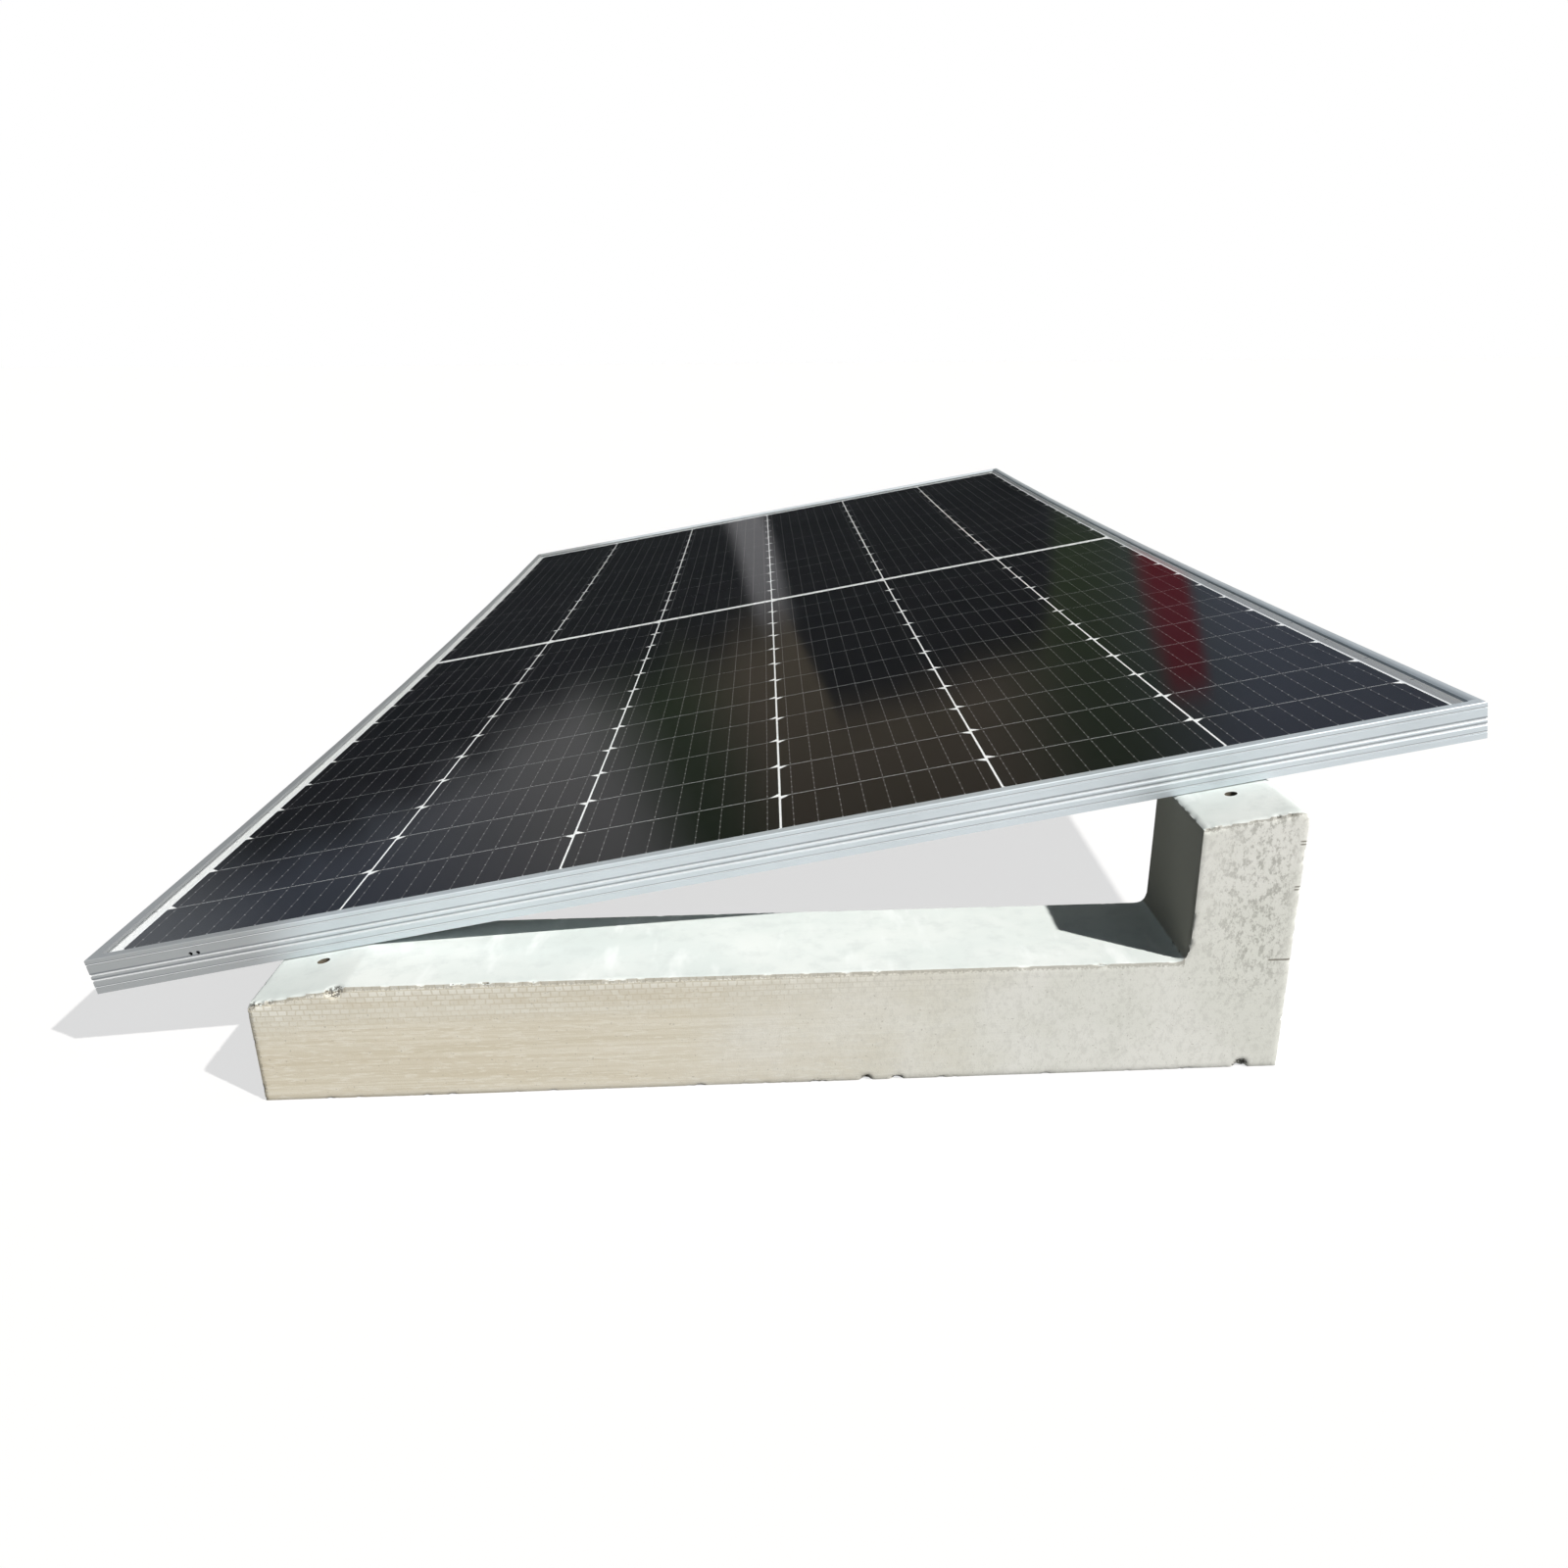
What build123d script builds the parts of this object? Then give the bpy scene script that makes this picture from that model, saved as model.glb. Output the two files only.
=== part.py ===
from build123d import *
import os
from math import cos, degrees, radians, sin, tan

# A framed solar module lying on two L-shaped concrete ballast blocks, one under each short end.
# Millimetres and degrees. +X runs up the slope, +Y along the module, +Z up.
# The origin is on the ground, under the middle of the whole assembly.

# ---- ballast block: one concrete casting, made twice
block_length = 800.0
block_width = 120.0
base_height = 96.0           # flat top of the base
seat_length = 73.0           # sloping seat at the low end, measured along the base
upright_thickness = 80.0     # at the top of the upright
upright_draft = 1.2          # lean of the upright's inner face, which lets the mould come off
tilt = 9.6                   # slope of the seat, of the upright's top and of the module
foot_radius = 8.0            # hollow corner where the upright meets the base
heel_radius = 9.0            # rounded top corner at the high end
block_arris = 1.5            # bevel round both long faces
anchor_diameter = 10.0       # sockets for the clamp screws
anchor_depth = 70.0
anchor_inset = 40.0          # from each end of the block

# ---- how the module lies on the blocks
low_overhang = 149.0         # the module's low edge stands out past the block's low end
module_bearing = 44.0        # width of block that each short end covers

# ---- module outline
module_length = 2278.0
module_width = 1134.0
frame_height = 30.0
module_sag = 10.0            # the middle hangs this far below the two carried ends

# ---- frame section, one extrusion for all four sides apart from the flange
frame_wall = 1.5
lip_reach = 11.0
lip_thickness = 1.7
lip_bevel = 1.2
channel_height = 6.5         # slot that takes the glass and its sealant
chamber_reach = 11.5         # outer size of the hollow chamber, inwards from the face
flange_thickness = 1.6
long_flange = 28.0
short_flange = 18.0
groove_rows = (              # distance below the frame's top, width, depth
    (4.8, 0.9, 0.4),
    (13.8, 2.4, 0.7),
    (18.4, 2.4, 0.7),
    (24.8, 0.9, 0.4),
)
slot_length = 14.0           # mounting slots in the long flanges
slot_width = 9.0
slot_stations = (395.0, 700.0)
earth_hole_diameter = 4.2
earth_hole_station = 600.0
drain_diameter = 3.2
drain_spacing = 6.0
drain_inset = 84.0           # from one corner of each short rail
drain_drop = 10.5            # below the frame's top
key_arm = 45.0               # corner key, each arm
key_clearance = 0.1

# ---- laminate, from the back to the front
edge_gap = 2.0               # sealant between the laminate's edge and the frame wall
sealant_under = 0.5
sealant_reach = 8.5          # how far the sealant reaches in from the frame wall
backsheet_thickness = 0.6
rear_film_thickness = 0.6
cell_thickness = 0.2
cell_clearance = 0.12        # flat cells stay clear of the bowed films
ribbon_thickness = 0.2
ribbon_clearance = 0.02
front_film_thickness = 0.6
glass_thickness = 3.2

# ---- cells and their wiring
cell_width = 182.0
half_cell = 91.0
cell_corner = 7.5
column_gap = 2.0
row_gap = 1.5
middle_gap = 15.0
columns = 6
rows = 12                    # in each half of the module
ribbons = 9                  # busbars across each cell
ribbon_width = 0.9
bus_width = 6.0
bus_offset = 3.0             # from the last cell to the bus ribbon
bus_end_gap = 8.0            # between the bus ribbons of neighbouring string pairs

# ---- junction boxes on the back, one for each pair of columns
box_length = 96.0
box_width = 44.0
box_height = 14.0
box_wall = 2.0
box_corner = 6.0             # cut off each corner
lid_thickness = 2.2
lid_lip = 2.0
lid_clearance = 0.15
pad_thickness = 1.0
pad_inset = 3.0
diode_length = 18.0
diode_width = 11.0
diode_height = 5.0
lead_length = 8.0
lead_width = 3.0
gland_diameter = 12.0
gland_length = 16.0
gland_nut_length = 7.0
gland_nut_width = 14.0
cable_diameter = 6.0
number_of_flats = 16         # count of the sides that stand for a gland's small circles

# ---- values worked out from those above
slope = tan(radians(tilt))
bow_radius = module_length ** 2 / (8 * module_sag) + module_sag / 2
shelf_height = frame_height - lip_thickness - channel_height
backsheet_bottom = shelf_height + sealant_under
rear_film_bottom = backsheet_bottom + backsheet_thickness
cell_bottom = rear_film_bottom + rear_film_thickness + cell_clearance
ribbon_bottom = cell_bottom + cell_thickness + ribbon_clearance
front_film_bottom = ribbon_bottom + ribbon_thickness + cell_clearance
glass_bottom = front_film_bottom + front_film_thickness
glass_top = glass_bottom + glass_thickness
laminate_inset = frame_wall + edge_gap
laminate_width = module_width - 2 * laminate_inset
laminate_length = module_length - 2 * laminate_inset
column_pitch = cell_width + column_gap
row_pitch = half_cell + row_gap
string_length = rows * half_cell + (rows - 1) * row_gap

bow_axis = Axis((0, 0, bow_radius), (1, 0, 0))
turned_round = Rot(0, 0, 180)


def bow_rise(station):
    """Height of the bowed module at a station, above its middle."""
    return bow_radius - (bow_radius ** 2 - station ** 2) ** 0.5


def at_station(station):
    """Carry a piece made at mid-length along the bow to a station."""
    angle = degrees(station / bow_radius)
    return Pos(0, 0, bow_radius) * Rot(angle, 0, 0) * Pos(0, 0, -bow_radius)


def along_bow(section, start, end):
    """Sweep an XZ section along the bow between two stations."""
    sweep_angle = degrees((end - start) / bow_radius)
    return revolve(at_station(start) * section, axis=bow_axis, revolution_arc=sweep_angle)


def bowed_sheet(width, length, bottom, top):
    """A sheet of the laminate, centred on the module and following its bow."""
    section = Plane.XZ * Pos(0, (bottom + top) / 2) * Rectangle(width, top - bottom)
    return along_bow(section, -length / 2, length / 2)


# ---- ballast blocks

def ballast_block():
    """L-shaped casting with its low end at x = 0 and its width centred on y = 0."""
    low_height = base_height - seat_length * slope
    top_height = base_height + (block_length - seat_length) * slope
    upright_x = block_length - upright_thickness
    upright_top = base_height + (upright_x - seat_length) * slope
    lean = (upright_top - base_height) * tan(radians(upright_draft))
    side = Polyline(
        (0, 0),
        (block_length, 0),
        (block_length, top_height),
        (upright_x, upright_top),
        (upright_x - lean, base_height),
        (seat_length, base_height),
        (0, low_height),
        close=True,
    )
    outline = make_face(side)
    foot = outline.vertices().sort_by_distance((upright_x - lean, base_height))[0]
    outline = fillet(foot, foot_radius)
    heel = outline.vertices().sort_by_distance((block_length, top_height))[0]
    outline = fillet(heel, heel_radius)
    block = Pos(0, block_width / 2, 0) * extrude(Plane.XZ * outline, block_width)
    faces = block.faces().sort_by(Axis.Y)
    long_edges = faces[0].edges() + faces[-1].edges()
    block = chamfer(long_edges, block_arris)
    for inset in (anchor_inset, block_length - anchor_inset):
        mouth_height = base_height + (inset - seat_length) * slope
        socket = Cylinder(
            anchor_diameter / 2,
            2 * anchor_depth,
        )
        block -= Pos(inset, 0, mouth_height) * Rot(0, -tilt, 0) * socket
    return block


# ---- frame

def frame_section(flange):
    """Frame extrusion: distance in from the outer face, then height."""
    lip_under = frame_height - lip_thickness
    outline = make_face(Polyline(
        (0, 0),
        (flange, 0),
        (flange, flange_thickness),
        (chamber_reach, flange_thickness),
        (chamber_reach, shelf_height),
        (frame_wall, shelf_height),
        (frame_wall, lip_under),
        (lip_reach, lip_under),
        (lip_reach - lip_bevel, frame_height),
        (lip_bevel / 2, frame_height),
        (0, frame_height - lip_bevel / 2),
        close=True,
    ))
    chamber_width = chamber_reach - 2 * frame_wall
    chamber_height = shelf_height - frame_wall - flange_thickness
    chamber = Pos(
        frame_wall + chamber_width / 2,
        flange_thickness + chamber_height / 2,
    ) * Rectangle(chamber_width, chamber_height)
    section = outline - chamber
    for drop, width, depth in groove_rows:
        height = frame_height - drop
        section -= make_face(Polyline(
            (0, height - width / 2),
            (depth, height - width / 4),
            (depth, height + width / 4),
            (0, height + width / 2),
            close=True,
        ))
    return section


def mitre_plane(side, end):
    """Upright 45-degree plane through a corner; side is -1 low or +1 high, end is -1 near or +1 far.
    Its positive side holds the long rail."""
    corner = Plane(origin=(side * module_width / 2, 0, 0), x_dir=(0, 0, 1), z_dir=(side, -end, 0))
    return Plane(at_station(end * module_length / 2) * corner.location)


def long_rail():
    """Low long side: swept along the bow, mitred at both ends, with its mounting slots."""
    section = Plane.XZ * Pos(-module_width / 2, 0) * frame_section(long_flange)
    reach = module_length / 2 + lip_reach
    rail = along_bow(section, -reach, reach)
    for end in (-1, 1):
        rail = split(rail, bisect_by=mitre_plane(-1, end), keep=Keep.TOP)
    slot_x = -module_width / 2 + (chamber_reach + long_flange) / 2
    slot = extrude(SlotOverall(slot_length, slot_width, rotation=90), 2 * flange_thickness, both=True)
    for station in slot_stations:
        for direction in (-1, 1):
            rail -= at_station(direction * station) * Pos(slot_x, 0, 0) * slot
    earth_hole = Cylinder(earth_hole_diameter / 2, 4 * flange_thickness)
    for direction in (-1, 1):
        rail -= at_station(direction * earth_hole_station) * Pos(slot_x, 0, 0) * earth_hole
    return rail


def short_rail():
    """Near short side: straight, mitred at both ends, with a pair of drain holes by its low end."""
    section = Plane.YZ * frame_section(short_flange)
    reach = module_width / 2 + lip_reach
    rail = at_station(-module_length / 2) * Pos(-reach, 0, 0) * extrude(section, 2 * reach)
    for side in (-1, 1):
        rail = split(rail, bisect_by=mitre_plane(side, -1), keep=Keep.BOTTOM)
    drain = Rot(90, 0, 0) * Cylinder(drain_diameter / 2, 4 * frame_wall)
    drain_height = frame_height - drain_drop
    for step in (0, drain_spacing):
        place = Pos(drain_inset + step - module_width / 2, 0, drain_height)
        rail -= at_station(-module_length / 2) * place * drain
    return rail


def corner_key(side):
    """Angle piece pushed into the chambers of two rails at a near corner."""
    width = chamber_reach - 2 * frame_wall - 2 * key_clearance
    height = shelf_height - frame_wall - flange_thickness - 2 * key_clearance
    inset = frame_wall + key_clearance
    low = flange_thickness + key_clearance
    arm = Pos(inset, inset, low) * Box(key_arm, width, height, align=Align.MIN)
    leg = Pos(inset, inset, low) * Box(width, key_arm, height, align=Align.MIN)
    key = Pos(-module_width / 2, 0, 0) * (arm + leg)
    if side > 0:
        key = mirror(key, about=Plane.YZ)
    return at_station(-module_length / 2) * key


# ---- laminate

def edge_sealant():
    """Bead that fills the frame's channel round the laminate, one ring of U section."""
    bead_width = module_width - 2 * frame_wall
    bead_length = module_length - 2 * frame_wall
    ring = bowed_sheet(bead_width, bead_length, shelf_height, shelf_height + channel_height)
    window_width = bead_width - 2 * sealant_reach
    window_length = bead_length - 2 * sealant_reach
    ring -= bowed_sheet(window_width, window_length, 0, frame_height)
    ring -= bowed_sheet(laminate_width, laminate_length, backsheet_bottom, glass_top)
    return ring


def half_cell_plate(corners_far):
    """Half of a pseudo-square cell: two cut corners, on one long edge only."""
    half_width = cell_width / 2
    half_depth = half_cell / 2
    outline = make_face(Polyline(
        (-half_width, -half_depth + cell_corner),
        (-half_width + cell_corner, -half_depth),
        (half_width - cell_corner, -half_depth),
        (half_width, -half_depth + cell_corner),
        (half_width, half_depth),
        (-half_width, half_depth),
        close=True,
    ))
    plate = Pos(0, 0, cell_bottom) * extrude(outline, cell_thickness)
    return turned_round * plate if corners_far else plate


def column_x(column):
    """Centre of a column of cells, counted from the low side."""
    return (column - (columns - 1) / 2) * column_pitch


def cell_string(column, direction):
    """Twelve half-cells in line, in the near (-1) or far (+1) half of the module."""
    faces_out = column % 2 == 0
    corners_far = faces_out == (direction > 0)
    plate = Pos(column_x(column), 0, 0) * half_cell_plate(corners_far)
    first = middle_gap / 2 + half_cell / 2
    return [at_station(direction * (first + row * row_pitch)) * plate for row in range(rows)]


def string_ribbons(direction):
    """Busbar ribbons of one half of the module, nine to a column."""
    inner = direction * (middle_gap / 2 - bus_offset)
    outer = direction * (middle_gap / 2 + string_length + bus_offset)
    start, end = sorted((inner, outer))
    spacing = cell_width / ribbons
    wires = []
    for column in range(columns):
        for ribbon in range(ribbons):
            x = column_x(column) + (ribbon - (ribbons - 1) / 2) * spacing
            section = Pos(x, ribbon_bottom + ribbon_thickness / 2)
            section *= Rectangle(ribbon_width, ribbon_thickness)
            wires.append(along_bow(Plane.XZ * section, start, end))
    return wires


def bus_ribbons(station, width):
    """Flat cross ribbons, one for each pair of columns, at one station."""
    length = 2 * column_pitch - bus_end_gap
    bar = Box(length, width, ribbon_thickness)
    height = ribbon_bottom + ribbon_thickness / 2
    return [at_station(station) * Pos(x, 0, height) * bar for x in pair_centres()]


def pair_centres():
    """Middle of each pair of columns, where the bus ribbons and boxes sit."""
    return [(column_x(column) + column_x(column + 1)) / 2 for column in range(0, columns, 2)]


# ---- junction boxes, hanging under the backsheet at mid-length

pad_bottom = backsheet_bottom - pad_thickness
box_bottom = pad_bottom - box_height
lid_bottom = box_bottom - lid_thickness


def box_outline(inset):
    """Rectangle of the box with its corners cut off, drawn in all round by an inset."""
    outline = Rectangle(box_length - 2 * inset, box_width - 2 * inset)
    return chamfer(outline.vertices(), box_corner - inset * (2 - 2 ** 0.5))


def adhesive_pad():
    return Pos(0, 0, pad_bottom) * extrude(box_outline(pad_inset), pad_thickness)


def box_body(gland_side):
    """Open-bottomed box; gland_side is -1 or +1 for a cable outlet, or 0 for none."""
    body = Pos(0, 0, box_bottom) * extrude(box_outline(0), box_height)
    body -= Pos(0, 0, box_bottom) * extrude(box_outline(box_wall), box_height - box_wall)
    if gland_side:
        hole = extrude(gland_outline(gland_diameter), 3 * box_wall / 2, both=True)
        body -= Pos(gland_side * box_length / 2, 0, gland_height()) * Rot(0, 90, 0) * hole
    return body


def gland_height():
    return box_bottom + box_height / 2


def gland_outline(diameter):
    """Many-sided outline that stands for a circle; a half turn brings it back onto itself."""
    return RegularPolygon(diameter / 2, number_of_flats)


def box_lid():
    """Flat lid with a rim that drops inside the box."""
    lid = Pos(0, 0, lid_bottom) * extrude(box_outline(0), lid_thickness)
    rim_inset = box_wall + lid_clearance
    rim = extrude(box_outline(rim_inset), lid_lip) - extrude(box_outline(rim_inset + box_wall), lid_lip)
    return lid + Pos(0, 0, box_bottom) * rim


def bypass_diode():
    """Diode body on the roof of the box, with a lead at each end."""
    roof = box_bottom + box_height - box_wall
    body = Pos(0, 0, roof - diode_height / 2) * Box(diode_length, diode_width, diode_height)
    lead = Box(lead_length, lead_width, ribbon_thickness * 3)
    lead_x = (diode_length + lead_length) / 2
    for side in (-1, 1):
        body += Pos(side * lead_x, 0, roof - diode_height / 2) * lead
    return body


def cable_gland(side):
    """Gland through the box wall: sleeve, hexagon nut and a bore for the cable."""
    sleeve = extrude(gland_outline(gland_diameter), gland_length + box_wall)
    nut_outline = RegularPolygon(gland_nut_width / 2, 6)
    nut = Pos(0, 0, box_wall) * extrude(nut_outline, gland_nut_length)
    bore = extrude(gland_outline(cable_diameter), 3 * gland_length, both=True)
    gland = Rot(0, 90, 0) * (sleeve + nut - bore)
    gland = Pos(box_length / 2 - box_wall, 0, gland_height()) * gland
    return turned_round * gland if side < 0 else gland


# ---- placing the module and writing every piece

bearing_station = module_length / 2 - module_bearing
bearing_rise = bow_rise(bearing_station)
lean_x = sin(radians(tilt))
lowest_x = -low_overhang - (frame_height + module_sag - bearing_rise) * lean_x
highest_x = -low_overhang + module_width * cos(radians(tilt)) + bearing_rise * lean_x
block_x = -(lowest_x + highest_x) / 2
low_edge_height = base_height - (seat_length + low_overhang) * slope
on_blocks = (
    Pos(block_x - low_overhang, 0, low_edge_height)
    * Rot(0, -tilt, 0)
    * Pos(module_width / 2, 0, -bearing_rise)
)
block_y = module_length / 2 - module_bearing + block_width / 2


def write(name, solids):
    """Write one node, of one solid or of several."""
    shape = solids if not isinstance(solids, list) else Compound(solids)
    shape.label = name
    export_step(shape, os.path.join("parts", name + ".step"))


def module_piece(name, solids):
    """Lay a piece of the module on the blocks and write it."""
    if isinstance(solids, list):
        write(name, [on_blocks * solid for solid in solids])
    else:
        write(name, on_blocks * solids)


os.makedirs("parts", exist_ok=True)

block = ballast_block()
write("ballast_block_near", Pos(block_x, -block_y, 0) * block)
write("ballast_block_far", Pos(block_x, block_y, 0) * block)

low_rail = long_rail()
near_rail = short_rail()
module_piece("frame_rail_low", low_rail)
module_piece("frame_rail_high", turned_round * low_rail)
module_piece("frame_rail_near", near_rail)
module_piece("frame_rail_far", turned_round * near_rail)
module_piece("corner_key_near_low", corner_key(-1))
module_piece("corner_key_near_high", corner_key(1))
module_piece("corner_key_far_low", turned_round * corner_key(1))
module_piece("corner_key_far_high", turned_round * corner_key(-1))

module_piece("edge_sealant", edge_sealant())
module_piece("backsheet", bowed_sheet(laminate_width, laminate_length, backsheet_bottom, rear_film_bottom))
module_piece(
    "rear_encapsulant",
    bowed_sheet(laminate_width, laminate_length, rear_film_bottom, rear_film_bottom + rear_film_thickness),
)
module_piece(
    "front_encapsulant",
    bowed_sheet(laminate_width, laminate_length, front_film_bottom, glass_bottom),
)
module_piece("front_glass", bowed_sheet(laminate_width, laminate_length, glass_bottom, glass_top))

for column in range(columns):
    module_piece("cell_string_near_%d" % (column + 1), cell_string(column, -1))
    module_piece("cell_string_far_%d" % (column + 1), cell_string(column, 1))
module_piece("string_ribbons_near", string_ribbons(-1))
module_piece("string_ribbons_far", string_ribbons(1))

end_bus_station = middle_gap / 2 + string_length + bus_offset + bus_width / 2
module_piece("bus_ribbons_middle", bus_ribbons(0, middle_gap - 2 * bus_offset))
module_piece("bus_ribbons_near", bus_ribbons(-end_bus_station, bus_width))
module_piece("bus_ribbons_far", bus_ribbons(end_bus_station, bus_width))

gland_sides = (-1, 0, 1)
for number, (centre, gland_side) in enumerate(zip(pair_centres(), gland_sides), start=1):
    place = Pos(centre, 0, 0)
    module_piece("junction_box_%d" % number, place * box_body(gland_side))
    module_piece("junction_box_lid_%d" % number, place * box_lid())
    module_piece("adhesive_pad_%d" % number, place * adhesive_pad())
    module_piece("bypass_diode_%d" % number, place * bypass_diode())
    if gland_side:
        end = "negative" if gland_side < 0 else "positive"
        module_piece("cable_gland_" + end, place * cable_gland(gland_side))
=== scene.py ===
import math

import bmesh
import bpy
import numpy as np
from mathutils import Matrix, Vector, noise


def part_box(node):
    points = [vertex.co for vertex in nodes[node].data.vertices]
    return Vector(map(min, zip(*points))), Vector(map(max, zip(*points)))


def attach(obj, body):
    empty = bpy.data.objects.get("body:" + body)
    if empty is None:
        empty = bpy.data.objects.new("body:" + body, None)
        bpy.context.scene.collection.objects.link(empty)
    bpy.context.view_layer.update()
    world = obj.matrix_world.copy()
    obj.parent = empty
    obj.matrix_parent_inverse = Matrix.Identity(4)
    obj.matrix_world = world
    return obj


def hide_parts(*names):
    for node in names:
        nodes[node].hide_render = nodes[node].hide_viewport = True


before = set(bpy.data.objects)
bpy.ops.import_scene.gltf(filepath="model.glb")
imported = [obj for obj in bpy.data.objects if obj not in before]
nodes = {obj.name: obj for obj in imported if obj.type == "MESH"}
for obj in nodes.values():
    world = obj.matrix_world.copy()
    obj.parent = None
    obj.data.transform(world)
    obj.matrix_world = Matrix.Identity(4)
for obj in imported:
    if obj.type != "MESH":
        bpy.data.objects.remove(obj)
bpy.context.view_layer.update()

# ------------------------------------------------------------------ ballast blocks
# Two L-shaped weights cast in one mould, each a single piece of concrete. The sides keep the
# skin of the boards, the tops were floated while wet and hold two cast sockets for clamp
# screws, and the arrises crumble where the mould was struck.
block_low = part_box("ballast_block_near")[0]
block_length = 0.8
slope_angle = math.radians(9.6)
slope = math.tan(slope_angle)
base_height = 0.096
seat_length = 0.073
upright_thickness = 0.080
upright_draft = math.radians(1.2)
foot_radius = 0.008
heel_radius = 0.009
socket_radius = 0.005
socket_depth = 0.070
socket_inset = 0.040
socket_across = 0.060
block_voxel = 0.0024


def start_edit(kind):
    """Go into edit mode on the active object, with faces, edges or vertices to be picked."""
    bpy.ops.object.mode_set(mode="EDIT")
    bpy.ops.mesh.select_mode(type=kind)


def pick(kind, test):
    """In edit mode, select each face, edge or vertex whose middle passes the test."""
    bpy.ops.mesh.select_mode(type=kind)
    shell = bmesh.from_edit_mesh(bpy.context.edit_object.data)
    for item in (*shell.verts, *shell.edges, *shell.faces):
        item.select = False
    for item in {"VERT": shell.verts, "EDGE": shell.edges, "FACE": shell.faces}[kind]:
        corners = [item] if kind == "VERT" else item.verts
        middle = sum((corner.co for corner in corners), Vector()) / len(corners)
        item.select_set(test(middle))
    bmesh.update_edit_mesh(bpy.context.edit_object.data)


def finish_with(piece, kind, **settings):
    """Add a modifier to a piece and apply it."""
    bpy.ops.object.select_all(action="DESELECT")
    bpy.context.view_layer.objects.active = piece
    piece.select_set(True)
    step = piece.modifiers.new(kind.lower(), kind)
    for name, value in settings.items():
        setattr(step, name, value)
    bpy.ops.object.modifier_apply(modifier=step.name)


def near(value, wanted):
    return abs(value - wanted) < 0.0005


def cast_block(name, node):
    """The bare casting: a bar whose low end slopes, with an upright drawn up at the high end."""
    low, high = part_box(node)
    end_x = low.x + block_length
    middle_y = (low.y + high.y) / 2
    upright_height = (end_x - upright_thickness - low.x - seat_length) * slope
    foot_x = end_x - upright_thickness - upright_height * math.tan(upright_draft)
    bpy.ops.object.select_all(action="DESELECT")
    bpy.ops.mesh.primitive_cube_add(
        size=1,
        location=((low.x + end_x) / 2, middle_y, base_height / 2),
        scale=(end_x - low.x, high.y - low.y, base_height),
    )
    block = bpy.context.object
    block.name = name
    bpy.ops.object.transform_apply(location=True, rotation=True, scale=True)
    start_edit("VERT")
    for cut_x in (low.x + seat_length, foot_x):
        bpy.ops.mesh.select_all(action="SELECT")
        bpy.ops.mesh.bisect(plane_co=(cut_x, 0, 0), plane_no=(1, 0, 0))
    pick("VERT", lambda at: near(at.x, low.x) and near(at.z, base_height))
    bpy.ops.transform.translate(value=(0, 0, -seat_length * slope))
    pick("FACE", lambda at: at.x > foot_x and near(at.z, base_height))
    bpy.ops.mesh.extrude_region_move(
        TRANSFORM_OT_translate={"value": (0, 0, upright_height)}
    )
    pick("VERT", lambda at: near(at.x, foot_x) and at.z > base_height + 0.01)
    bpy.ops.transform.translate(value=(end_x - upright_thickness - foot_x, 0, 0))
    pick("VERT", lambda at: near(at.x, end_x) and at.z > base_height + 0.01)
    bpy.ops.transform.translate(value=(0, 0, upright_thickness * slope))
    pick("EDGE", lambda at: near(at.x, foot_x) and near(at.z, base_height) and near(at.y, middle_y))
    bpy.ops.mesh.bevel(offset=foot_radius, segments=4, affect="EDGES")
    pick("EDGE", lambda at: near(at.x, end_x) and at.z > 0.2 and near(at.y, middle_y))
    bpy.ops.mesh.bevel(offset=heel_radius, segments=4, affect="EDGES")
    bpy.ops.object.mode_set(mode="OBJECT")
    finish_with(block, "REMESH", mode="VOXEL", voxel_size=block_voxel)
    finish_with(block, "SMOOTH", factor=0.5, iterations=2)
    return block, low


def crumble(block, low, chips, seed):
    """Wear the casting's arrises, dent its chips and let its floated faces wave a little."""
    mesh = block.data
    count = len(mesh.vertices)
    wear = np.zeros(count, np.float32)
    shift = Vector((seed * 3.7, seed * 1.3, seed * 2.1))
    moved = []
    for index, vertex in enumerate(mesh.vertices):
        at = vertex.co
        out = vertex.normal
        edge = min(1.0, (1 - max(abs(out.x), abs(out.y), abs(out.z))) / 0.22)
        wave = 0.0003 * noise.noise(at * 14 + shift)
        bite = max(0.0, noise.noise(at * 140 + shift) - 0.32) * 0.0036 * edge
        nick = max(0.0, noise.noise(at * 330 - shift) - 0.35) * 0.0030 * edge
        inward = bite + nick - wave
        for x, y, z, reach, depth in chips:
            away = (at - low - Vector((x, y, z))).length / reach
            if away < 1.2:
                ragged = away + 0.35 * noise.noise(at * 420 + shift)
                if ragged < 1:
                    dent = depth * (1 - max(ragged, 0) ** 2)
                    inward = max(inward, dent)
        wear[index] = min(1.0, max(0.0, inward - 0.0004) / 0.0016)
        moved.append(at - out * inward)
    for vertex, place in zip(mesh.vertices, moved):
        vertex.co = place
    chip_depth = mesh.attributes.new("chipped", "FLOAT", "POINT")
    chip_depth.data.foreach_set("value", wear)


def drill_sockets(block, low):
    """Cut the two cast sockets, square to the slope that they open in."""
    for inset in (socket_inset, block_length - socket_inset):
        mouth_height = base_height + (inset - seat_length) * slope
        mouth = Vector((low.x + inset, low.y + socket_across, mouth_height))
        bpy.ops.object.select_all(action="DESELECT")
        bpy.ops.mesh.primitive_cylinder_add(
            vertices=40,
            radius=socket_radius,
            depth=2 * socket_depth,
            location=mouth,
            rotation=(0, -slope_angle, 0),
        )
        plug = bpy.context.object
        finish_with(block, "BOOLEAN", object=plug, operation="DIFFERENCE", solver="EXACT")
        bpy.data.objects.remove(plug)


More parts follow.
